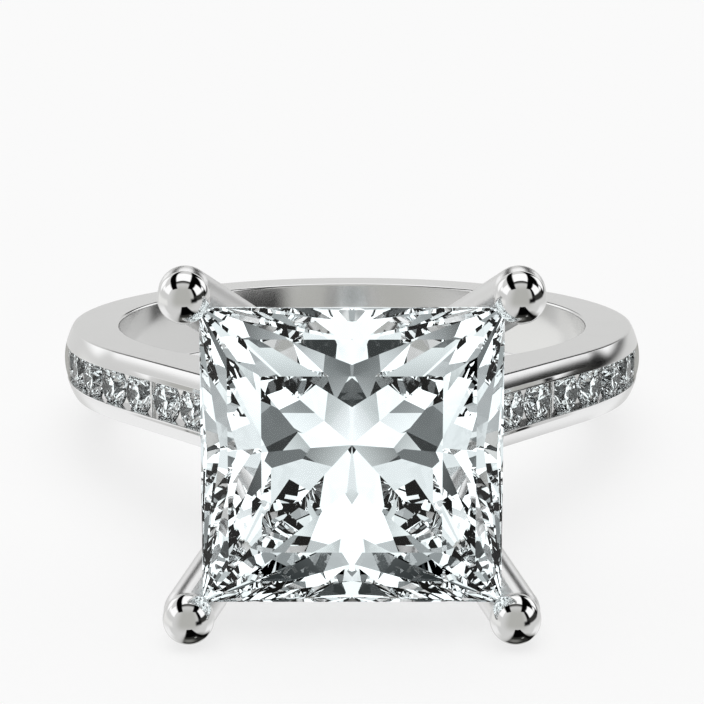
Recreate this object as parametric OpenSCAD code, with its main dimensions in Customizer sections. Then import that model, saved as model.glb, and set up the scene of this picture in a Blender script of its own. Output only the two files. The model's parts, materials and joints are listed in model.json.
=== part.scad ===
/* [Band] */
// Diameter of the finger hole
finger_d = 17; // [16:0.1:18]
// Width of the band along the finger
band_w = 2.4; // [2.2:0.05:2.8]
// Thickness of the metal at the flat side faces
band_t = 1.65; // [1.5:0.05:1.8]
// Rise of the rounded outer face above the flat side faces
dome_t = 0.33; // [0.25:0.01:0.4]
// Bevel at the two edges of the finger hole
hole_bevel = 0.07; // [0.03:0.01:0.12]

/* [Shoulders] */
// Angle from the head down to where each shoulder leaves the round band
shoulder_angle = 51; // [49:0.5:53]
// Length of each straight shoulder
shoulder_l = 7.9; // [7.8:0.05:8.2]

/* [Channel] */
// Width of the open channel between its two rails
channel_w = 1.2; // [1.1:0.02:1.3]
// Depth of the channel floor below the lips of the rails
channel_depth = 0.45; // [0.4:0.01:0.55]
// Thickness of the divider across the channel
divider_t = 0.1; // [0.06:0.01:0.12]
// Number of stones between the divider and the head
stones_above_divider = 3; // [1:1:7]

/* [Small stones] */
// Number of round stones in each channel
stones_per_side = 8; // [6:1:8]
// Diameter of a round stone
small_d = 1.46; // [1.4:0.01:1.48]
// Distance between neighbouring round stones along the channel
small_pitch = 1.53; // [1.52:0.01:1.56]
// Distance of the stone nearest to the head from the start of the straight shoulder
first_small_s = 5.84; // [5.8:0.02:6.36]
// Depth of the tables of the round stones below the lips of the rails
small_sink = 0.07; // [0.03:0.01:0.1]
// Turn from each round stone to the next about its own axis
small_turn = 13; // [0:1:22]

/* [Centre stone] */
// Side of the square stone at its girdle
stone_w = 8.83; // [8.7:0.01:8.9]
// Height of the girdle above the centre of the finger hole
girdle_h = 16.21; // [16.1:0.01:16.3]
// Thickness of the girdle
girdle_t = 0.16; // [0.08:0.01:0.2]
// Height of the crown above the girdle
stone_crown_h = 1.02; // [0.9:0.01:1.1]
// Depth of the pavilion below the girdle
pavilion_h = 5.02; // [4.9:0.01:5.1]
// Width of the table as a share of the stone's width
table_share = 0.59; // [0.55:0.01:0.65]

/* [Prongs] */
// Radius of a prong and of its ball tip
prong_r = 0.775; // [0.7:0.005:0.8]
// Distance of each ball from the head's centre line, across the band
ball_across = 4.83; // [4.8:0.01:4.9]
// Distance of each ball from the head's centre line, along the finger
ball_along = 4.8; // [4.78:0.01:4.9]
// Height of the balls above the centre of the finger hole
ball_h = 16.6; // [16.5:0.01:16.7]
// Height at which the prongs end on the sides of the band
foot_h = 9.6; // [9.5:0.05:9.9]
// Sideways lean of a prong for each unit of its height, across the band
lean_across = 0.44; // [0.42:0.01:0.46]
// Sideways lean of a prong for each unit of its height, along the finger
lean_along = 0.49; // [0.47:0.01:0.5]
// Distance from a prong's axis to the flat on its side that faces the stone
flat_d = 0.42; // [0.3:0.01:0.5]
// Distance from a ball's centre down the prong to where that flat starts
flat_start = 0.45; // [0.4:0.01:0.6]

/* [Hidden] */
// Clearance between a stone and its metal seat
gap = 0.03;
// Length by which a cutter passes the face that it cuts
over = 1;
$fn = 96;

bore_r = finger_d / 2;
side_r = bore_r + band_t;
rim_r = side_r + dome_t;
// The outer face is an arc across the band, with this radius and centre
arc_r = (pow(band_w / 2, 2) + pow(dome_t, 2)) / (2 * dome_t);
arc_c = rim_r - arc_r;
lip_r = arc_c + sqrt(pow(arc_r, 2) - pow(channel_w / 2, 2));
floor_r = lip_r - channel_depth;
tangent_angle = 90 - shoulder_angle;

// Proportions of a round brilliant, as shares of its radius
small_r = small_d / 2;
small_table = 0.57 * small_r;
small_star = 0.76 * small_r;
small_lower = 0.23 * small_r;
small_crown_h = 0.3 * small_r;
small_pavilion_h = 0.86 * small_r;
small_girdle_t = 0.05 * small_r;
small_girdle_r = lip_r - small_sink - small_crown_h - small_girdle_t / 2;

// Place of each round stone along the channel, counted from the head; negative on the round band
divider_gap = divider_t + 3 * gap - (small_pitch - small_d);
function small_s(n) =
    first_small_s - (n - 1) * small_pitch - (n > stones_above_divider ? divider_gap : 0);
channel_end = small_r + 2 * gap;
channel_head_s = small_s(1) + channel_end;
channel_back_s = small_s(stones_per_side) - channel_end;

// Folded line down the middle of each side of the pavilion, as shares of its half width and depth
keel_out = [1, 0.8, 0.56, 0.28, 0];
keel_down = [0, 0.3, 0.57, 0.82, 1];

// The ring lies on its side, on two ball tips and the back edge of the band
support_y = ball_h + side_r;
support_z = ball_along - band_w / 2;
rest_tilt = atan2(support_z, support_y) + asin(prong_r / norm([support_y, support_z]));
centre_z = band_w / 2 * cos(rest_tilt) + side_r * sin(rest_tilt);
back_y = arc_c * cos(rest_tilt) + arc_r;
front_y = ball_h * cos(rest_tilt) + ball_along * sin(rest_tilt) + prong_r;
centre_y = (front_y - back_y) / 2;

function side_nodes(side) = [for (n = [1 : stones_per_side]) str(side, "_stone_", n)];

// The ring's own frame has the finger hole along Z and the head toward -Y
module lay_down() {
    translate([0, centre_y, centre_z]) rotate([-rest_tilt, 0, 0]) children();
}

module on_side(side) {
    if (side < 0) mirror([1, 0, 0]) children();
    else children();
}

// Frame at a place along the channel: X points out of the ring, -Y along the shoulder to the head
module at_channel(side, s) {
    back_turn = s < 0 ? -s / small_girdle_r * 180 / PI : 0;
    on_side(side)
        rotate([0, 0, back_turn - tangent_angle])
            translate([0, -max(s, 0), 0])
                children();
}

// Cross-section of the band, from an inner radius out to the rounded face
module section(inner_r) {
    translate([inner_r, -band_w / 2]) square([bore_r + band_t / 2 - inner_r, band_w]);
    intersection() {
        translate([arc_c, 0]) circle(r = arc_r);
        translate([bore_r, -band_w / 2]) square([band_t + dome_t + over, band_w]);
    }
}

// Cross-section of what the channel takes away
module channel_section() {
    translate([floor_r, -channel_w / 2]) square([rim_r - floor_r + over, channel_w]);
}

module band() {
    rotate([0, 0, -tangent_angle])
        rotate_extrude(angle = 180 + 2 * tangent_angle, $fn = 192) section(bore_r - over);
}

module shoulder(side) {
    on_side(side)
        rotate([0, 0, -tangent_angle])
            rotate([90, 0, 0]) linear_extrude(shoulder_l) section(bore_r / 2);
}

module finger_hole() {
    depth = band_w / 2 + over;
    translate([0, 0, -depth]) cylinder(r = bore_r, h = 2 * depth, $fn = 192);
    for (half_turn = [0, 180])
        rotate([half_turn, 0, 0])
            translate([0, 0, band_w / 2 - hole_bevel])
                cylinder(r1 = bore_r, r2 = bore_r + over, h = over, $fn = 192);
}

module channel(side) {
    back_angle = -channel_back_s / small_girdle_r * 180 / PI;
    on_side(side)
        rotate([0, 0, -tangent_angle]) {
            rotate_extrude(angle = back_angle, $fn = 192) channel_section();
            rotate([90, 0, 0]) linear_extrude(channel_head_s) channel_section();
        }
}

module divider(side) {
    middle_s = (small_s(stones_above_divider) + small_s(stones_above_divider + 1)) / 2;
    at_channel(side, middle_s)
        translate([floor_r - gap, -divider_t / 2, -channel_w / 2 - gap])
            cube([lip_r - floor_r, divider_t, channel_w + 2 * gap]);
}

// Place of a round stone, with its girdle in the plane z = 0 and its table up
module at_small_stone(side, n) {
    at_channel(side, small_s(n))
        translate([small_girdle_r, 0, 0]) rotate([0, 90, 0]) rotate([0, 0, n * small_turn]) children();
}

// Space that a round stone takes up in the metal
module small_seat() {
    half_t = small_girdle_t / 2 + gap;
    rotate_extrude()
        polygon([
            [0, -small_pavilion_h - 2 * gap],
            [small_r + gap, -half_t],
            [small_r + gap, half_t],
            [small_table, small_crown_h + 3 * gap],
            [0, small_crown_h + 3 * gap]
        ]);
}

module prong(across, along) {
    lean = [across * lean_across, -1, along * lean_along];
    down = -lean / norm(lean);
    tip = [across * ball_across, -ball_h, along * ball_along];
    prong_l = (ball_h - foot_h) * norm(lean);
    // Turns that bring Z to the direction down the prong
    turn = atan2(down[1], down[0]);
    dip = acos(down[2]);
    // Direction across the prong that faces the stone
    inward = [0, -1, 0] + down[1] * down;
    translate(tip) {
        sphere(r = prong_r);
        difference() {
            rotate([0, dip, turn]) {
                cylinder(r = prong_r, h = prong_l);
                translate([0, 0, prong_l]) sphere(r = prong_r);
            }
            flat_cutter(down, inward / norm(inward), prong_l);
        }
    }
}

// Block that planes the flat on the side of a prong that faces the stone
module flat_cutter(down, inward, prong_l) {
    side = cross(down, inward);
    multmatrix([
        [down[0], inward[0], side[0], 0],
        [down[1], inward[1], side[1], 0],
        [down[2], inward[2], side[2], 0],
        [0, 0, 0, 1]
    ])
        translate([flat_start, flat_d, -prong_r - over])
            cube([prong_l + prong_r, prong_r, 2 * (prong_r + over)]);
}

// Frame with the middle of the square stone's girdle at its origin and the table up
module at_centre_stone() {
    translate([0, -girdle_h, 0]) rotate([90, 0, 0]) children();
}

module mounting() {
    color("gainsboro") lay_down()
        difference() {
            union() {
                difference() {
                    union() {
                        band();
                        for (side = [-1, 1]) shoulder(side);
                    }
                    for (side = [-1, 1]) channel(side);
                }
                for (side = [-1, 1]) divider(side);
                for (across = [-1, 1], along = [-1, 1]) prong(across, along);
            }
            finger_hole();
            for (side = [-1, 1], n = [1 : stones_per_side]) at_small_stone(side, n) small_seat();
            at_centre_stone() scale((stone_w + 2 * gap) / stone_w) princess();
        }
}

// Square princess cut: a kite at each corner of the crown, two facets between the kites on each
// side, and pavilion facets that fan out from the corners to a folded line down each side
module princess() {
    half = stone_w / 2;
    table = table_share * half;
    top = girdle_t / 2 + stone_crown_h;
    break_long = 0.7 * half;
    break_out = 0.815 * half;
    // The break points lie in the plane of the kite from the table's corner to the girdle's corner
    kite_share = ((break_long + break_out) / 2 - table) / (half - table);
    break_up = top - stone_crown_h * kite_share;
    keels = len(keel_out) - 1;
    // Points of one side, counted round the stone; each side ends where the next one starts
    side_points = concat(
        [[-table, table, top], [-break_long, break_out, break_up], [break_long, break_out, break_up],
         [-half, half, girdle_t / 2], [-half, half, -girdle_t / 2]],
        [for (k = [0 : keels - 1])
            [0, half * keel_out[k], -girdle_t / 2 - pavilion_h * keel_down[k]]]
    );
    per_side = len(side_points);
    culet = 4 * per_side;
    points = concat(
        [for (side = [0 : 3], p = side_points) turned(p, -90 * side)],
        [[0, 0, -girdle_t / 2 - pavilion_h]]
    );
    faces = concat(
        [[for (side = [0 : 3]) side * per_side]],
        [for (side = [0 : 3]) each princess_side(side * per_side, (side + 1) % 4 * per_side, culet, keels)]
    );
    polyhedron(points, faces);
}

function turned(p, angle) =
    [p[0] * cos(angle) - p[1] * sin(angle), p[0] * sin(angle) + p[1] * cos(angle), p[2]];

// Faces of one side of the princess cut, from the first point of this side and of the next one
function princess_side(this, next, culet, keels) = concat(
    [
        [this, this + 1, this + 2, next],
        [this + 1, this + 3, next + 3, this + 2],
        [next, this + 2, next + 3, next + 1],
        [this + 3, this + 4, this + 5, next + 4, next + 3]
    ],
    [for (k = [0 : keels - 1])
        let (upper = this + 5 + k, lower = k == keels - 1 ? culet : this + 6 + k)
        each [[this + 4, lower, upper], [next + 4, upper, lower]]]
);

module centre_stone() {
    color("aliceblue") lay_down() at_centre_stone() princess();
}

// Round brilliant: table, eight star, eight kite and sixteen upper facets, a girdle of sixteen
// flats, sixteen lower facets and eight pavilion facets that meet at the culet
module brilliant() {
    steps = 8;
    half_step = 180 / steps;
    half_t = small_girdle_t / 2;
    top = half_t + small_crown_h;
    crown_slope = small_crown_h / (small_r - small_table);
    star_up = top - crown_slope * (small_star * cos(half_step) - small_table);
    pavilion_slope = small_pavilion_h / small_r;
    lower_down = -half_t - small_pavilion_h + pavilion_slope * small_lower * cos(half_step);
    // Two points at each of eight angles, then two at each angle halfway to the next
    points = concat(
        [for (i = [0 : steps - 1]) each [
            polar(small_table, i * 2 * half_step, top),
            polar(small_star, (i * 2 + 1) * half_step, star_up),
            polar(small_r, i * 2 * half_step, half_t),
            polar(small_r, (i * 2 + 1) * half_step, half_t),
            polar(small_r, i * 2 * half_step, -half_t),
            polar(small_r, (i * 2 + 1) * half_step, -half_t),
            polar(small_lower, (i * 2 + 1) * half_step, lower_down)
        ]],
        [[0, 0, -half_t - small_pavilion_h]]
    );
    culet = 7 * steps;
    faces = concat(
        [[for (i = [steps - 1 : -1 : 0]) 7 * i]],
        [for (i = [0 : steps - 1]) each brilliant_step(7 * i, 7 * ((i + 1) % steps), culet)]
    );
    polyhedron(points, faces);
}

function polar(r, angle, z) = [r * cos(angle), r * sin(angle), z];

// Faces of one eighth of the brilliant, from the first point of this eighth and of the next one
function brilliant_step(this, next, culet) = [
    [this, next, this + 1],
    [next, next + 1, next + 2, this + 1],
    [this + 1, this + 3, this + 2],
    [this + 1, next + 2, this + 3],
    [this + 2, this + 3, this + 5, this + 4],
    [this + 3, next + 2, next + 4, this + 5],
    [this + 4, this + 5, this + 6],
    [this + 5, next + 4, this + 6],
    [next + 4, next + 6, culet, this + 6]
];

module small_stone(side, n) {
    color("aliceblue") lay_down() at_small_stone(side, n) brilliant();
}

mounting();
centre_stone();
for (n = [1 : stones_per_side])
    small_stone(-1, n);
for (n = [1 : stones_per_side])
    small_stone(1, n);
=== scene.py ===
import json
import math

import bpy
from mathutils import Matrix, Vector
from mathutils.geometry import intersect_point_line


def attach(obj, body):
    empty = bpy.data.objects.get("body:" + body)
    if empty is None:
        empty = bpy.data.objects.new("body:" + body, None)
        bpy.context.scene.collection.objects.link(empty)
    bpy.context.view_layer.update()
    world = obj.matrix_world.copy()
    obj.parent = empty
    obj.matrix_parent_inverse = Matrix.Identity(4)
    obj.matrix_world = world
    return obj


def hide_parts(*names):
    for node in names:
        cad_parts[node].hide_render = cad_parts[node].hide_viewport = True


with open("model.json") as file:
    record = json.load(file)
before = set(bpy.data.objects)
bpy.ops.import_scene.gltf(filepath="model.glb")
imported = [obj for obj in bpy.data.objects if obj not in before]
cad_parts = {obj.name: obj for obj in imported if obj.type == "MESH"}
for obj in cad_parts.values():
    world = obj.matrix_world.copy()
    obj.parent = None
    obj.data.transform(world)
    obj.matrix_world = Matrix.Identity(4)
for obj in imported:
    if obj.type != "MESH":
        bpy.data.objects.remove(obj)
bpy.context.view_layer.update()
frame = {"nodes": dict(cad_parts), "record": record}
print("frame loaded:", len(frame["nodes"]), "nodes")

# Pieces are modelled in millimetres in the ring's own frame, with the finger hole along Z and the
# head towards -Y. The finger hole's mount says where that frame lies, because the ring rests on
# its side with the head raised.
millimetre = 0.001
boreMount = next(m for m in frame["record"]["mounts"] if m["name"] == "finger_bore")
ringAxis = Vector(boreMount["axis"])
restTilt = math.atan2(ringAxis.y, ringAxis.z)
layDown = (
    Matrix.Translation(Vector(boreMount["pos_m"]))
    @ Matrix.Rotation(-restTilt, 4, "X")
    @ Matrix.Scale(millimetre, 4)
)
toRing = layDown.inverted()

meshWork = {
    "near": 0.0001,            # how near a point lies to a plane to count as on it
    "square": 0.99,            # how squarely a face looks along an axis, from 0 to 1
    "weld": 0.0008,            # points closer than this are merged after a cut
    "sliver": 0.0004,          # edges shorter than this are dissolved after a cut
    "mirrorWeld": 0.001,       # points closer than this to their mirror image are merged with it
    "cutterClear": 1,          # how far a cutter stands out of the metal
}


def deselectAll():
    bpy.ops.object.select_all(action="DESELECT")


def makeActive(piece):
    deselectAll()
    piece.select_set(True)
    bpy.context.view_layer.objects.active = piece


def newPiece(name):
    piece = bpy.context.object
    piece.name = name
    bpy.ops.object.transform_apply(location=True, rotation=True, scale=True)
    return piece


def place(piece, matrix):
    makeActive(piece)
    piece.matrix_world = matrix
    bpy.ops.object.transform_apply(location=True, rotation=True, scale=True)


def openMesh(mode):
    bpy.ops.object.mode_set(mode="EDIT")
    bpy.ops.mesh.select_mode(type=mode)
    bpy.ops.mesh.select_all(action="SELECT")


def closeMesh():
    bpy.ops.object.mode_set(mode="OBJECT")


# Picks points or faces of the piece in edit mode by a test on their place and normal
def pick(piece, mode, test):
    bpy.ops.mesh.select_mode(type=mode)
    bpy.ops.mesh.select_all(action="DESELECT")
    closeMesh()
    mesh = piece.data
    if mode == "VERT":
        for point in mesh.vertices:
            point.select = test(point.co, point.normal)
    else:
        for face in mesh.polygons:
            face.select = test(face.center, face.normal)
    bpy.ops.object.mode_set(mode="EDIT")


def keepSide(planePoint, normal, fill):
    bpy.ops.mesh.select_all(action="SELECT")
    bpy.ops.mesh.bisect(plane_co=planePoint, plane_no=normal, clear_inner=True, use_fill=fill)


def turnOutwards():
    bpy.ops.mesh.select_all(action="SELECT")
    bpy.ops.mesh.normals_make_consistent(inside=False)
    closeMesh()


def applyModifier(piece, kind, settings):
    makeActive(piece)
    modifier = piece.modifiers.new(kind.lower(), kind)
    for key, value in settings.items():
        setattr(modifier, key, value)
    bpy.ops.object.modifier_apply(modifier=modifier.name)


# Joins another piece to this one or cuts it out, and clears the slivers that the cut leaves
def combine(piece, other, operation):
    applyModifier(piece, "BOOLEAN", {"operation": operation, "solver": "EXACT", "object": other})
    bpy.data.objects.remove(other)
    openMesh("VERT")
    bpy.ops.mesh.remove_doubles(threshold=meshWork["weld"])
    bpy.ops.mesh.dissolve_degenerate(threshold=meshWork["sliver"])
    closeMesh()


# Sweeps the cross-section, which stands on the XZ plane, round the band by an angle and then
# draws its first face out along the straight shoulder towards -Y
def sweep(piece, angle, steps, straight):
    bpy.ops.mesh.select_mode(type="FACE")
    bpy.ops.mesh.select_all(action="SELECT")
    bpy.ops.mesh.spin(steps=steps, angle=math.radians(angle), center=(0, 0, 0), axis=(0, 0, -1))
    pick(piece, "FACE", lambda centre, normal:
         abs(centre.y) < meshWork["near"] and abs(normal.y) > meshWork["square"])
    bpy.ops.mesh.extrude_region_move(TRANSFORM_OT_translate={"value": (0, -straight, 0)})
    turnOutwards()


# A round column about Z through the given pairs of radius and height
def column(name, profile, points):
    radius, height = profile[0]
    bpy.ops.mesh.primitive_circle_add(
        vertices=points, radius=radius, fill_type="NGON", location=(0, 0, height))
    piece = newPiece(name)
    openMesh("FACE")
    for nextRadius, nextHeight in profile[1:]:
        bpy.ops.mesh.extrude_region_move(
            TRANSFORM_OT_translate={"value": (0, 0, nextHeight - height)})
        scale = nextRadius / radius
        bpy.ops.transform.resize(value=(scale, scale, 1), center_override=(0, 0, 0))
        radius, height = nextRadius, nextHeight
    turnOutwards()
    return piece


# Points of a quarter circle that starts at the origin, as pairs of how far out and how far up
def quarterRound(radius, steps):
    angles = [math.pi / 2 * step / steps for step in range(steps + 1)]
    return [(radius * (1 - math.cos(a)), radius * math.sin(a)) for a in angles]


band = {
    "boreR": boreMount["dims"]["r_mm"],
    "width": 2.4,
    "sideR": 10.15,            # outer radius of the flat side faces
    "dome": 0.33,              # rise of the rounded outer face
    "edgeRound": 0.13,         # rounding of the outer edges of the side faces
    "holeRound": 0.11,         # rounding of the edges of the finger hole
    "innerCut": 4.0,           # how far in the blank reaches before the finger hole is cut
    "tangentAngle": 39,        # where the straight shoulders leave the round band
    "shoulderLength": 7.9,
    "pastMiddle": 2,           # how far the sweep runs past the middle of the back, in degrees
    "domePoints": 240,         # points on the whole circle that the dome is an arc of
    "sweepSteps": 108,
    "holePoints": 288,
    "roundSteps": 5,
    "smoothAngle": 32,         # edges sharper than this stay crisp
    "normalWeight": 80,
}
domeR = (band["width"] ** 2 / 4 + band["dome"] ** 2) / (2 * band["dome"])
domeCentre = band["sideR"] + band["dome"] - domeR
tangentTurn = Matrix.Rotation(-math.radians(band["tangentAngle"]), 4, "Z")


# Right half of the band and shoulder: a slice of a round bar, cut flat at the sides
def bandBlank():
    deselectAll()
    bpy.ops.mesh.primitive_circle_add(
        vertices=band["domePoints"], radius=domeR, fill_type="NGON",
        location=(domeCentre, 0, 0), rotation=(math.pi / 2, 0, 0))
    piece = newPiece("mounting")
    half = band["width"] / 2
    outside = (domeCentre + band["sideR"]) / 2
    openMesh("VERT")
    keepSide((0, 0, half), (0, 0, -1), False)
    keepSide((0, 0, -half), (0, 0, 1), False)
    keepSide((domeCentre, 0, 0), (1, 0, 0), False)
    pick(piece, "VERT", lambda co, normal:
         abs(abs(co.z) - half) < meshWork["near"] and co.x > outside)
    bpy.ops.mesh.bevel(
        affect="VERTICES", offset=band["edgeRound"], segments=band["roundSteps"], profile=0.5)
    pick(piece, "VERT", lambda co, normal: co.x < domeCentre + meshWork["near"])
    bpy.ops.transform.translate(value=(band["innerCut"] - domeCentre, 0, 0))
    # A little past the middle of the back, which the cut at x = 0 then trims
    angle = 90 + band["tangentAngle"] + band["pastMiddle"]
    sweep(piece, angle, band["sweepSteps"], band["shoulderLength"])
    place(piece, tangentTurn)
    openMesh("VERT")
    keepSide((0, 0, 0), (1, 0, 0), True)
    closeMesh()
    return piece


def holeCutter():
    half, radius = band["width"] / 2, band["holeRound"]
    rounding = quarterRound(radius, band["roundSteps"])
    top = [(band["boreR"] + out, half - radius + rise) for out, rise in rounding]
    bottom = [(r, -z) for r, z in reversed(top)]
    ends = (band["boreR"] + radius, half + meshWork["cutterClear"])
    profile = [(ends[0], -ends[1])] + bottom + top + [ends]
    deselectAll()
    return column("holeCutter", profile, band["holePoints"])


channel = {
    "width": 1.2,
    "depth": 0.33,
    "lipRound": 0.04,
    "headEnd": 6.63,           # where the channel ends on the shoulder
    "backAngle": 32.7,         # how far the channel goes round the band, in degrees
    "sweepSteps": 26,
    "dividerPlace": 1.97,      # how far along the shoulder the thin divider stands
    "dividerThickness": 0.1,
    "dividerHeight": 0.12,
    "dividerRound": 0.02,
    "dividerRoundSteps": 2,
}
lipR = domeCentre + math.sqrt(domeR ** 2 - channel["width"] ** 2 / 4)
floorR = lipR - channel["depth"]


def channelCutter():
    half = channel["width"] / 2
    deselectAll()
    bpy.ops.mesh.primitive_plane_add(size=1, location=(0, 0, 0), rotation=(math.pi / 2, 0, 0))
    piece = newPiece("channelCutter")
    lipStart = lipR - channel["lipRound"]
    openMesh("VERT")
    bpy.ops.transform.resize(value=(lipStart - floorR, 1, 2 * half))
    bpy.ops.transform.translate(value=((lipStart + floorR) / 2, 0, 0))
    x, z = lipStart, half
    steps = [(lipStart + rise, half + out)
             for out, rise in quarterRound(channel["lipRound"], band["roundSteps"])[1:]]
    for nextX, nextZ in steps + [(lipR + meshWork["cutterClear"], half + channel["lipRound"])]:
        pick(piece, "VERT", lambda co, normal: co.x > x - meshWork["near"])
        bpy.ops.mesh.select_mode(type="EDGE")
        bpy.ops.mesh.extrude_region_move(TRANSFORM_OT_translate={"value": (nextX - x, 0, 0)})
        bpy.ops.transform.resize(value=(1, 1, nextZ / z), center_override=(0, 0, 0))
        x, z = nextX, nextZ
    sweep(piece, channel["backAngle"], channel["sweepSteps"], channel["headEnd"])
    place(piece, tangentTurn)
    return piece


seat = {
    # Shares of a small stone's radius
    "depthShare": 1.21,
    "girdleHeight": 0.885,
    "girdleHalf": 0.025,
    "tableShare": 0.57,
    # Clearance round the stone, and below and above it in multiples of that
    "gap": 0.026,
    "culetGaps": 2,
    "tableGaps": 3,
    "culetR": 0.02,
    "points": 48,
    # How far the seat's dull metal, painted dark as shade, reaches below the culet, and out past the
    # stone in gaps
    "coneFoot": 0.2,
    "coneGaps": 1.5,
}


def dividerPiece():
    deselectAll()
    height = channel["dividerHeight"]
    bpy.ops.mesh.primitive_cube_add(
        size=1, location=(floorR + height / 2 - seat["gap"], -channel["dividerPlace"], 0),
        scale=(height, channel["dividerThickness"], channel["width"] + 2 * seat["gap"]))
    piece = newPiece("divider")
    openMesh("EDGE")
    bpy.ops.mesh.bevel(
        affect="EDGES", offset=channel["dividerRound"], segments=channel["dividerRoundSteps"])
    closeMesh()
    place(piece, tangentTurn)
    return piece


# Where a stone sits, read from its own mesh: the table is the largest facet, and the culet is the
# point farthest behind it. The matrix has the culet at its origin and the stone's axis along Z.
def stonePlace(node):
    mesh = frame["nodes"][node].data
    totals = {}
    for face in mesh.polygons:
        key = tuple(round(c, 2) for c in face.normal)
        totals[key] = totals.get(key, Vector()) + face.normal * face.area
    tableNormal = max(totals.values(), key=lambda total: total.length)
    axis = (toRing.to_3x3() @ tableNormal).normalized()
    points = sorted((toRing @ v.co for v in mesh.vertices), key=lambda point: point.dot(axis))
    culet = points[0]
    depth = (points[-1] - culet).dot(axis)
    turn = axis.to_track_quat("Z", "X").to_matrix().to_4x4()
    return Matrix.Translation(culet) @ turn, depth


# Space for a round stone: its own shape of revolution and a little clearance
def seatCutter(node):
    matrix, depth = stonePlace(node)
    gap = seat["gap"]
    radius = depth / seat["depthShare"]
    girdle = radius * seat["girdleHeight"]
    half = radius * seat["girdleHalf"] + gap
    profile = [
        (seat["culetR"], -seat["culetGaps"] * gap),
        (radius + gap, girdle - half),
        (radius + gap, girdle + half),
        (radius * seat["tableShare"], depth + seat["tableGaps"] * gap),
    ]
    deselectAll()
    piece = column("seatCutter", profile, seat["points"])
    place(piece, matrix)
    return piece


prong = {
    "radius": 0.785,
    "ballR": 0.765,
    "ball": (4.81, -16.74, 4.79),
    "end": (4.83, -15.95, 4.81),   # centre of the rod's rounded end, which shows behind the ball
    "lean": (0.47, -1, 0.515),     # the rod's direction, for one unit of height
    "footHeight": 9.6,
    "rodPoints": 56,
    "ballPoints": 64,
    "gap": 0.012,                  # clearance round the square stone's corners
    "stoneWeld": 0.001,
}


# A prong's ball, its rod's rounded end and the rod's direction, on the given sides of the ring
def prongLine(x, z):
    return [Vector((x * p[0], p[1], z * p[2])) for p in (prong["ball"], prong["end"], prong["lean"])]


def rodPiece(side):
    ball, end, lean = prongLine(1, side)
    length = (-end.y - prong["footHeight"]) * lean.length
    out = lean.normalized()
    head = Vector((0, -1, 0))
    inward = (head - out * head.dot(out)).normalized()
    axes = Matrix((inward, out.cross(inward), out)).transposed().to_4x4()
    deselectAll()
    bpy.ops.mesh.primitive_uv_sphere_add(
        segments=prong["rodPoints"], ring_count=prong["rodPoints"] // 2, radius=prong["radius"])
    rod = newPiece("rod")
    openMesh("FACE")
    pick(rod, "FACE", lambda centre, normal: centre.z < 0)
    bpy.ops.mesh.extrude_region_move(TRANSFORM_OT_translate={"value": (0, 0, -length)})
    turnOutwards()
    place(rod, Matrix.Translation(end) @ axes)
    deselectAll()
    bpy.ops.mesh.primitive_uv_sphere_add(
        segments=prong["ballPoints"], ring_count=prong["ballPoints"] // 2, radius=prong["ballR"])
    tip = newPiece("ball")
    place(tip, Matrix.Translation(ball) @ axes)
    combine(rod, tip, "UNION")
    return rod


# The square stone's own shape, grown by the clearance about the middle of its girdle
def notchCutter():
    source = frame["nodes"]["centre_stone"]
    cutter = source.copy()
    cutter.data = source.data.copy()
    cutter.data.materials.clear()
    cutter.parent = None
    bpy.context.collection.objects.link(cutter)
    cutter.name = "notchCutter"
    place(cutter, toRing)
    openMesh("VERT")
    bpy.ops.mesh.remove_doubles(threshold=prong["stoneWeld"])
    closeMesh()
    low = min(v.co.x for v in cutter.data.vertices)
    girdleY = [v.co.y for v in cutter.data.vertices if v.co.x < low + prong["stoneWeld"]]
    middle = Vector((0, (min(girdleY) + max(girdleY)) / 2, 0))
    growth = 1 + prong["gap"] / -low
    place(cutter, Matrix.Translation(middle) @ Matrix.Scale(growth, 4) @ Matrix.Translation(-middle))
    return cutter


# The right half is made whole first, opened where it meets the left half, and mirrored
def buildMounting():
    piece = bandBlank()
    combine(piece, channelCutter(), "DIFFERENCE")
    combine(piece, dividerPiece(), "UNION")
    print("band and channel made")
    for side in (-1, 1):
        combine(piece, rodPiece(side), "UNION")
    combine(piece, holeCutter(), "DIFFERENCE")
    print("prongs joined and finger hole cut")
    for node in sorted(frame["nodes"]):
        if node.startswith("right_stone"):
            combine(piece, seatCutter(node), "DIFFERENCE")
    combine(piece, notchCutter(), "DIFFERENCE")
    openMesh("FACE")
    pick(piece, "FACE", lambda centre, normal:
         abs(centre.x) < meshWork["near"] and abs(normal.x) > meshWork["square"])
    bpy.ops.mesh.delete(type="FACE")
    closeMesh()
    applyModifier(piece, "MIRROR", {"use_clip": True, "merge_threshold": meshWork["mirrorWeld"]})
    openMesh("FACE")
    turnOutwards()
    makeActive(piece)
    bpy.ops.object.shade_smooth_by_angle(angle=math.radians(band["smoothAngle"]))
    applyModifier(piece, "WEIGHTED_NORMAL", {"keep_sharp": True, "weight": band["normalWeight"]})
    place(piece, layDown)
    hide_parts("mounting")
    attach(piece, "root")
    return piece


mounting = buildMounting()
print("seats cut, mounting made")

camera = {
    "place": (0, -76.2, 14.6),   # in the ring's frame, in millimetres
    "target": (0, 0, 0),
    "focalPixels": 2107,
    "frameWidth": 704,
    "sensor": 36,
    "clip": (0.001, 20),
}


def addCamera():
    deselectAll()
    station, target = [layDown @ Vector(camera[key]) for key in ("place", "target")]
    bpy.ops.object.camera_add(location=station)
    eye = bpy.context.object
    eye.name = "camera"
    eye.rotation_euler = (target - station).to_track_quat("-Z", "Y").to_euler()
    eye.data.sensor_width = camera["sensor"]
    eye.data.lens = camera["focalPixels"] / camera["frameWidth"] * camera["sensor"]
    eye.data.clip_start, eye.data.clip_end = camera["clip"]
    bpy.context.scene.camera = eye


addCamera()


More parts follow.
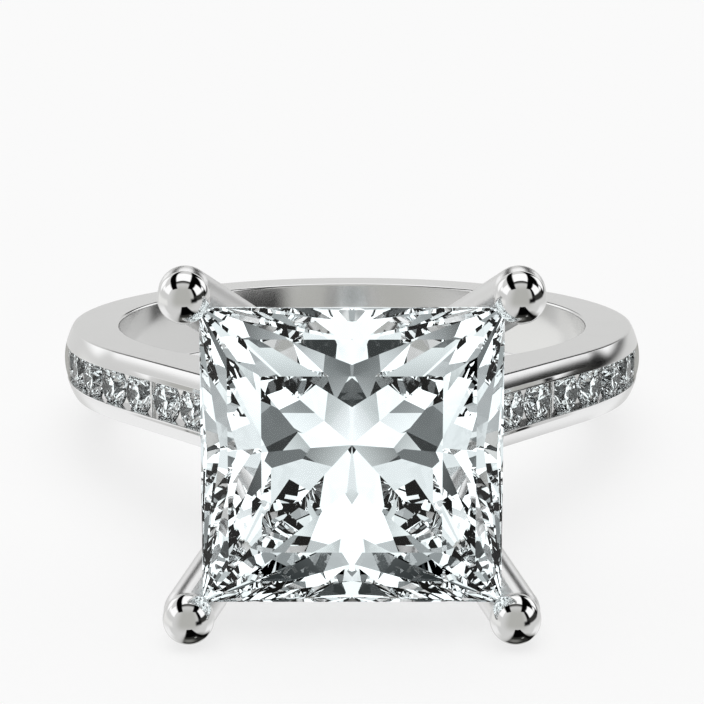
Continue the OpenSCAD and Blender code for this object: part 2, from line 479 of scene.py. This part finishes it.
def toLinear(hexColour, strength=1.0):
    channels = [int(hexColour[i:i + 2], 16) / 255 for i in (1, 3, 5)]
    linear = [c / 12.92 if c <= 0.04045 else ((c + 0.055) / 1.055) ** 2.4 for c in channels]
    return (*[c * strength for c in linear], 1)


# Adds a node with its settings and inputs. An input is a plain value or another node, whose first
# output is linked, or a pair of a node and an output's name or number.
def addNode(tree, kind, settings=None, inputs=None):
    node = tree.nodes.new(kind)
    for key, value in (settings or {}).items():
        setattr(node, key, value)
    for key, value in (inputs or {}).items():
        if isinstance(value, bpy.types.Node):
            tree.links.new(value.outputs[0], node.inputs[key])
        elif isinstance(value, tuple) and isinstance(value[0], bpy.types.Node):
            tree.links.new(value[0].outputs[value[1]], node.inputs[key])
        else:
            node.inputs[key].default_value = value
    return node


# What the metal mirrors: soft-edged areas laid over one another. Areas on the wall are given in
# degrees of azimuth (0 is behind the ring, 90 to the right) and height, and "both" has its mirror
# image on the left too. Areas on the ceiling and the ground are given in sideways and backward
# distance for each unit of height.
studioBase = ("#DEDEDD", 1.0)
studioAreas = [
    # surface, across, along, half sizes, edge softness, colour, strength
    ("both", 180, 22, 46, 45, 22, "#BEBEBA", 1.0),             # dimmer on the camera's side
    ("ceiling", 0.0, 0.10, 0.55, 0.20, 0.12, "#40403E", 1.0),  # dark overhead
    ("both", 60, -38, 28, 13, 9, "#FFFFFF", 1.0),              # light low on both sides
    ("ground", 0.35, 0.0, 0.55, 0.7, 0.3, "#80807C", 1.0),     # grey and black under the ring
    ("ground", 0.27, -0.95, 0.49, 1.47, 0.08, "#050505", 1.0),
    ("ground", 0.54, 0.55, 0.20, 0.35, 0.10, "#101010", 1.0),
    ("ground", 0.16, 0.0, 0.36, 0.50, 0.08, "#2E2E2C", 1.0),
    ("ground", 0.0, 0.0, 0.20, 0.20, 0.16, "#7C7C78", 1.0),
    ("ceiling", -0.70, 3.4, 0.26, 4.0, 0.06, "#030303", 1.0),  # black strips beside the softbox
    ("ceiling", 1.50, 3.4, 1.08, 4.0, 0.06, "#030303", 1.0),
    ("right", 78, 22, 52, 24, 4, "#040404", 1.0),              # black card on the right
    ("right", 100, 6, 30, 9, 5, "#3A3A38", 1.0),
    ("right", 131, 0, 14, 9, 6, "#141414", 1.0),
    ("right", -78, -12, 32, 9, 6, "#F6F6F4", 1.0),             # light low on the left
    ("both", 68, 19, 7, 5, 3, "#FFFFFF", 1.2),
    ("ceiling", 0.0, 0.78, 0.42, 0.66, 0.05, "#FFFFFF", 1.2),  # softbox overhead
    ("right", -93, 30, 19, 13, 3, "#FFFFFF", 1.2),             # windows on the left and the right
    ("right", -43, 14, 15, 10, 4, "#FFFFFF", 1.2),
    ("right", 95, 31, 19, 15, 3, "#FFFFFF", 1.2),
    ("right", 41, 15, 16, 11, 4, "#FFFFFF", 1.2),
    ("ground", 0.38, -0.27, 0.06, 0.07, 0.03, "#A0A09E", 1.0),
]

# What the light that comes through the stones sees: a white tent with grey and black cards hung
# in mirrored pairs round the ring. The one just under the camera was given on its own. The others
# are the larger cards of a search against the photo's lights and darks, rounded.
stoneBase = ("#F6FCFD", 1.5)
stoneCards = [
    # surface, azimuth, height, half width, half height, edge softness, colour, strength
    ("both", 30, -80, 25, 20, 2, "#C2C8C9", 1.0),     # grey under the ring
    ("both", 165, 25, 20, 8, 2, "#2C3031", 1.0),      # black bars above the camera
    ("both", 150, 25, 10, 5, 2, "#101314", 1.0),
    ("both", 0, 45, 20, 15, 2, "#7C8182", 1.0),       # grey behind the ring
    ("both", 25, 5, 20, 12, 2, "#7C8182", 1.0),
    ("both", 120, -20, 20, 20, 2, "#303536", 1.0),    # dark low at the sides, grey in its middle
    ("both", 120, -25, 15, 10, 2, "#9CA2A3", 1.0),
    ("both", 135, -45, 20, 15, 2, "#F1F8F9", 1.0),
    ("both", 170, -50, 20, 20, 2, "#ACB1B2", 1.0),    # grey below the camera
    ("both", 155, 5, 20, 20, 2, "#F7FFFF", 1.15),     # the tent on both sides of the camera
    ("both", 160, 50, 20, 20, 2, "#E9F0F1", 1.0),
    ("both", 135, 75, 15, 10, 2, "#101314", 1.0),     # black overhead
    ("both", 100, 15, 15, 10, 2, "#101314", 1.0),     # black cards at the sides
    ("both", 80, 15, 15, 5, 2, "#F7FFFF", 1.6),       # the side lamps
    ("both", 175, -18, 9, 6, 4, "#BCC2C3", 1.0),      # grey just under the camera
    ("both", 180, -5, 15, 10, 2, "#666B6C", 1.0),     # the camera itself
    ("both", 100, -70, 15, 20, 2, "#9CA2A3", 1.0),
]

# Height of the sky, from 0 at the horizon to 1 overhead, at which the floor's lamp starts and is
# in full
topLight = {"edge": 0.7, "full": 0.92, "strength": 2.2}
# The least height that ceiling and ground distances are divided by
leastHeight = 0.001
# Light goes round many times inside a diamond before it comes out
lightBounces = {"max_bounces": 32, "transmission_bounces": 32, "glossy_bounces": 12}


# Lays soft-edged areas over a base colour. Each surface comes with the nodes for its two
# directions and a mask, or none, for where it is.
def layAreas(tree, surfaces, base, areas):
    colour = toLinear(*base)
    for surface, u0, v0, halfU, halfV, soft, hexColour, strength in areas:
        u, v, mask = surfaces[surface]
        for value, middle, half in ((u, u0, halfU), (v, v0, halfV)):
            off = addNode(tree, "ShaderNodeMath", {"operation": "SUBTRACT"}, {0: value, 1: middle})
            off = addNode(tree, "ShaderNodeMath", {"operation": "ABSOLUTE"}, {0: off})
            inside = addNode(tree, "ShaderNodeMapRange", {"interpolation_type": "SMOOTHSTEP"}, {
                "Value": off, "From Min": half - soft, "From Max": half + soft,
                "To Min": 1.0, "To Max": 0.0})
            if mask is None:
                mask = inside
            else:
                mask = addNode(tree, "ShaderNodeMath", {"operation": "MULTIPLY"}, {0: mask, 1: inside})
        mix = addNode(tree, "ShaderNodeMix", {"data_type": "RGBA"}, {
            0: mask, 6: colour, 7: toLinear(hexColour, strength)})
        colour = (mix, 2)
    return colour


def addStudio():
    world = bpy.data.worlds.new("studio")
    bpy.context.scene.world = world
    world.use_nodes = True
    tree = world.node_tree
    tree.nodes.clear()
    where = addNode(tree, "ShaderNodeTexCoord")
    parts = addNode(tree, "ShaderNodeSeparateXYZ", {}, {0: (where, "Generated")})
    across, back, height = (parts, "X"), (parts, "Y"), (parts, "Z")
    slope = addNode(tree, "ShaderNodeMath", {"operation": "ARCSINE"}, {0: height})
    rise = addNode(tree, "ShaderNodeMath", {"operation": "DEGREES"}, {0: slope})
    turn = addNode(tree, "ShaderNodeMath", {"operation": "ARCTAN2"}, {0: across, 1: back})
    azimuth = addNode(tree, "ShaderNodeMath", {"operation": "DEGREES"}, {0: turn})
    aside = addNode(tree, "ShaderNodeMath", {"operation": "ABSOLUTE"}, {0: azimuth})
    surfaces = {"right": (azimuth, rise, None), "both": (aside, rise, None)}
    for name, sign in (("ceiling", 1), ("ground", -1)):
        level = addNode(tree, "ShaderNodeMath", {"operation": "MULTIPLY"}, {0: height, 1: sign})
        away = addNode(tree, "ShaderNodeMath", {"operation": "MAXIMUM"}, {0: level, 1: leastHeight})
        u = addNode(tree, "ShaderNodeMath", {"operation": "DIVIDE"}, {0: across, 1: away})
        v = addNode(tree, "ShaderNodeMath", {"operation": "DIVIDE"}, {0: back, 1: away})
        gate = addNode(tree, "ShaderNodeMath", {"operation": "GREATER_THAN"}, {0: level, 1: 0.0})
        surfaces[name] = (u, v, gate)
    mirrored = layAreas(tree, surfaces, studioBase, studioAreas)
    through = layAreas(tree, surfaces, stoneBase, stoneCards)
    path = addNode(tree, "ShaderNodeLightPath")
    mix = addNode(tree, "ShaderNodeMix", {"data_type": "RGBA"}, {
        0: (path, "Is Transmission Ray"), 6: mirrored, 7: through})
    # The floor is lit from above alone, which keeps the shadows close to the ring
    lamp = addNode(tree, "ShaderNodeMapRange", {"interpolation_type": "SMOOTHSTEP"}, {
        "Value": height, "From Min": topLight["edge"], "From Max": topLight["full"],
        "To Min": 0.0, "To Max": topLight["strength"]})
    lit = addNode(tree, "ShaderNodeMix", {"data_type": "RGBA"}, {
        0: (path, "Is Diffuse Ray"), 6: (mix, 2), 7: lamp})
    background = addNode(tree, "ShaderNodeBackground", {}, {"Color": (lit, 2), "Strength": 1.0})
    addNode(tree, "ShaderNodeOutputWorld", {}, {"Surface": background})
    bpy.context.scene.view_settings.view_transform = "Standard"
    for setting, bounces in lightBounces.items():
        setattr(bpy.context.scene.cycles, setting, bounces)


addStudio()

floorValues = {
    "halfSize": 3.0,           # in metres
    "glow": ("#FFFFFF", 0.75),
    "paint": "#868686",
}


# Pale paint that glows a little, so that the floor is near white and its shadows stay pale
def addFloor():
    deselectAll()
    bpy.ops.mesh.primitive_plane_add(size=2 * floorValues["halfSize"], location=(0, 0, 0))
    floor = newPiece("floor")
    floor.visible_glossy = False
    floor.visible_transmission = False
    paint = bpy.data.materials.new("pale floor, matt painted")
    paint.use_nodes = True
    tree = paint.node_tree
    tree.nodes.clear()
    glow = addNode(tree, "ShaderNodeEmission", {}, {
        "Color": toLinear(floorValues["glow"][0]), "Strength": floorValues["glow"][1]})
    matt = addNode(tree, "ShaderNodeBsdfDiffuse", {}, {"Color": toLinear(floorValues["paint"])})
    both = addNode(tree, "ShaderNodeAddShader", {}, {0: glow, 1: matt})
    addNode(tree, "ShaderNodeOutputMaterial", {}, {"Surface": both})
    floor.data.materials.append(paint)


addFloor()
print("camera, studio and floor made")

# White gold under a thin rhodium plating, a neutral bright grey. The band is polished with a soft
# felt, which leaves the reflections slightly blurred. The prongs' balls are burnished to a mirror
# and their rods are drawn to a satin. Under the small stones the metal is left dull and its colour
# is painted dark grey as shade in the hollows, which gives the stones their dark facets.
mountingFinishes = {
    # name, colour, roughness and how much the roughness wanders
    "band": ("white gold, rhodium plated and felt polished", "#EAEAEA", 0.14, 0.015),
    "ball": ("white gold, rhodium plated and burnished", "#EAEAEA", 0.05, 0.01),
    "rod": ("white gold, rhodium plated and satin drawn", "#EAEAEA", 0.3, 0.03),
    # The seats' metal is painted dark grey: painted shade in the hollows under the small stones
    "seat": ("white gold, drilled and left dull", "#8A8A8A", 0.4, 0.05),
}
metalPolish = {
    "clouds": 0.9,             # cloudy polish, for each millimetre: a little over 1 mm across
    "cloudDetail": 3.0,
    "cloudRoughness": 0.6,
    "cloudRange": (0.3, 0.7),  # the middle of the noise, where most of it lies
    "waves": 12.0,             # fine polishing waves, for each millimetre
    "waveDetail": 2.0,
    "waveStrength": 0.02,
    "waveDepth": 0.01,
    "skin": 0.004,             # how far off a ball or rod a face's middle may lie
}


# Scale of a noise, from how many of its clouds lie on a millimetre
def noiseScale(clouds):
    return clouds / millimetre


def newMaterial(name):
    material = bpy.data.materials.new(name)
    material.use_nodes = True
    return material, material.node_tree, material.node_tree.nodes["Principled BSDF"]


def metalMaterial(name, colour, roughness, spread):
    material, tree, shader = newMaterial(name)
    where = addNode(tree, "ShaderNodeTexCoord")
    clouds = addNode(tree, "ShaderNodeTexNoise", {}, {
        "Vector": (where, "Object"), "Scale": noiseScale(metalPolish["clouds"]),
        "Detail": metalPolish["cloudDetail"], "Roughness": metalPolish["cloudRoughness"]})
    blur = addNode(tree, "ShaderNodeMapRange", {}, {
        "Value": clouds,
        "From Min": metalPolish["cloudRange"][0], "From Max": metalPolish["cloudRange"][1],
        "To Min": roughness - spread, "To Max": roughness + spread})
    tree.links.new(blur.outputs[0], shader.inputs["Roughness"])
    waves = addNode(tree, "ShaderNodeTexNoise", {}, {
        "Vector": (where, "Object"), "Scale": noiseScale(metalPolish["waves"]),
        "Detail": metalPolish["waveDetail"]})
    bump = addNode(tree, "ShaderNodeBump", {}, {
        "Height": waves, "Strength": metalPolish["waveStrength"],
        "Distance": metalPolish["waveDepth"] * millimetre})
    tree.links.new(bump.outputs[0], shader.inputs["Normal"])
    shader.inputs["Base Color"].default_value = toLinear(colour)
    shader.inputs["Metallic"].default_value = 1.0
    return material


# Points of the metal that lie on the cone under a small stone
def seatPoints(node, points):
    matrix, depth = stonePlace(node)
    toStone = matrix.inverted()
    radius = depth / seat["depthShare"]
    found = set()
    for index, point in enumerate(points):
        x, y, height = toStone @ point
        within = math.hypot(x, y) < radius + seat["coneGaps"] * seat["gap"]
        if within and -seat["coneFoot"] < height < radius:
            found.add(index)
    return found


# Gives each face the finish of the part that it belongs to
def finishMounting():
    mounting.data.materials.clear()
    for values in mountingFinishes.values():
        mounting.data.materials.append(metalMaterial(*values))
    order = list(mountingFinishes)
    points = [toRing @ v.co for v in mounting.data.vertices]
    cones = [seatPoints(node, points) for node in frame["nodes"] if "_stone_" in node]
    prongs = [prongLine(x, z) for x in (-1, 1) for z in (-1, 1)]
    for face in mounting.data.polygons:
        centre = toRing @ face.center
        onCone = any(cone.issuperset(face.vertices) for cone in cones)
        # Faces on a seat cone take the darker metal, painted shade under the small stones
        finish = "seat" if onCone else "band"
        for ball, end, lean in prongs:
            foot = end - lean * (-end.y - prong["footHeight"])
            share = intersect_point_line(centre, end, foot)[1]
            nearest = end.lerp(foot, min(max(share, 0), 1))
            if (centre - ball).length < prong["ballR"] + metalPolish["skin"]:
                finish = "ball"
            elif (centre - nearest).length < prong["radius"] + metalPolish["skin"]:
                finish = "rod"
        face.material_index = order.index(finish)


finishMounting()

diamondFinishes = {
    # name, clouds of tint for each millimetre, deep and pale colour
    "centre": ("diamond, princess cut and polished", 0.35, "#F6FBFD", "#FFFFFF"),
    "small": ("diamond, round brilliant cut and polished", 1.5, "#FBFEFF", "#FFFFFF"),
}
diamondGlass = {
    "ior": 2.417,
    "cloudDetail": 2.0,
    "outerShine": "#7C7C7C",   # the photo's stones hardly mirror the room on their outer faces
}


# Clear diamond, polished to a perfect mirror, so it bends light sharply. A very faint cloud of
# tint keeps neighbouring facets from being exactly the same white.
def diamondMaterial(name, cloudCount, deepColour, paleColour):
    material, tree, shader = newMaterial(name)
    where = addNode(tree, "ShaderNodeTexCoord")
    clouds = addNode(tree, "ShaderNodeTexNoise", {}, {
        "Vector": (where, "Object"), "Scale": noiseScale(cloudCount),
        "Detail": diamondGlass["cloudDetail"]})
    tint = addNode(tree, "ShaderNodeMix", {"data_type": "RGBA"}, {
        0: clouds, 6: toLinear(deepColour), 7: toLinear(paleColour)})
    tree.links.new(tint.outputs[2], shader.inputs["Base Color"])
    shader.inputs["Transmission Weight"].default_value = 1.0
    shader.inputs["Roughness"].default_value = 0.0
    shader.inputs["IOR"].default_value = diamondGlass["ior"]
    shader.inputs["Specular Tint"].default_value = toLinear(diamondGlass["outerShine"])
    return material


diamonds = {key: diamondMaterial(*values) for key, values in diamondFinishes.items()}
for name, node in frame["nodes"].items():
    if "stone" in name:
        for slot in node.material_slots:
            slot.material = diamonds["centre" if name == "centre_stone" else "small"]
print("materials made")
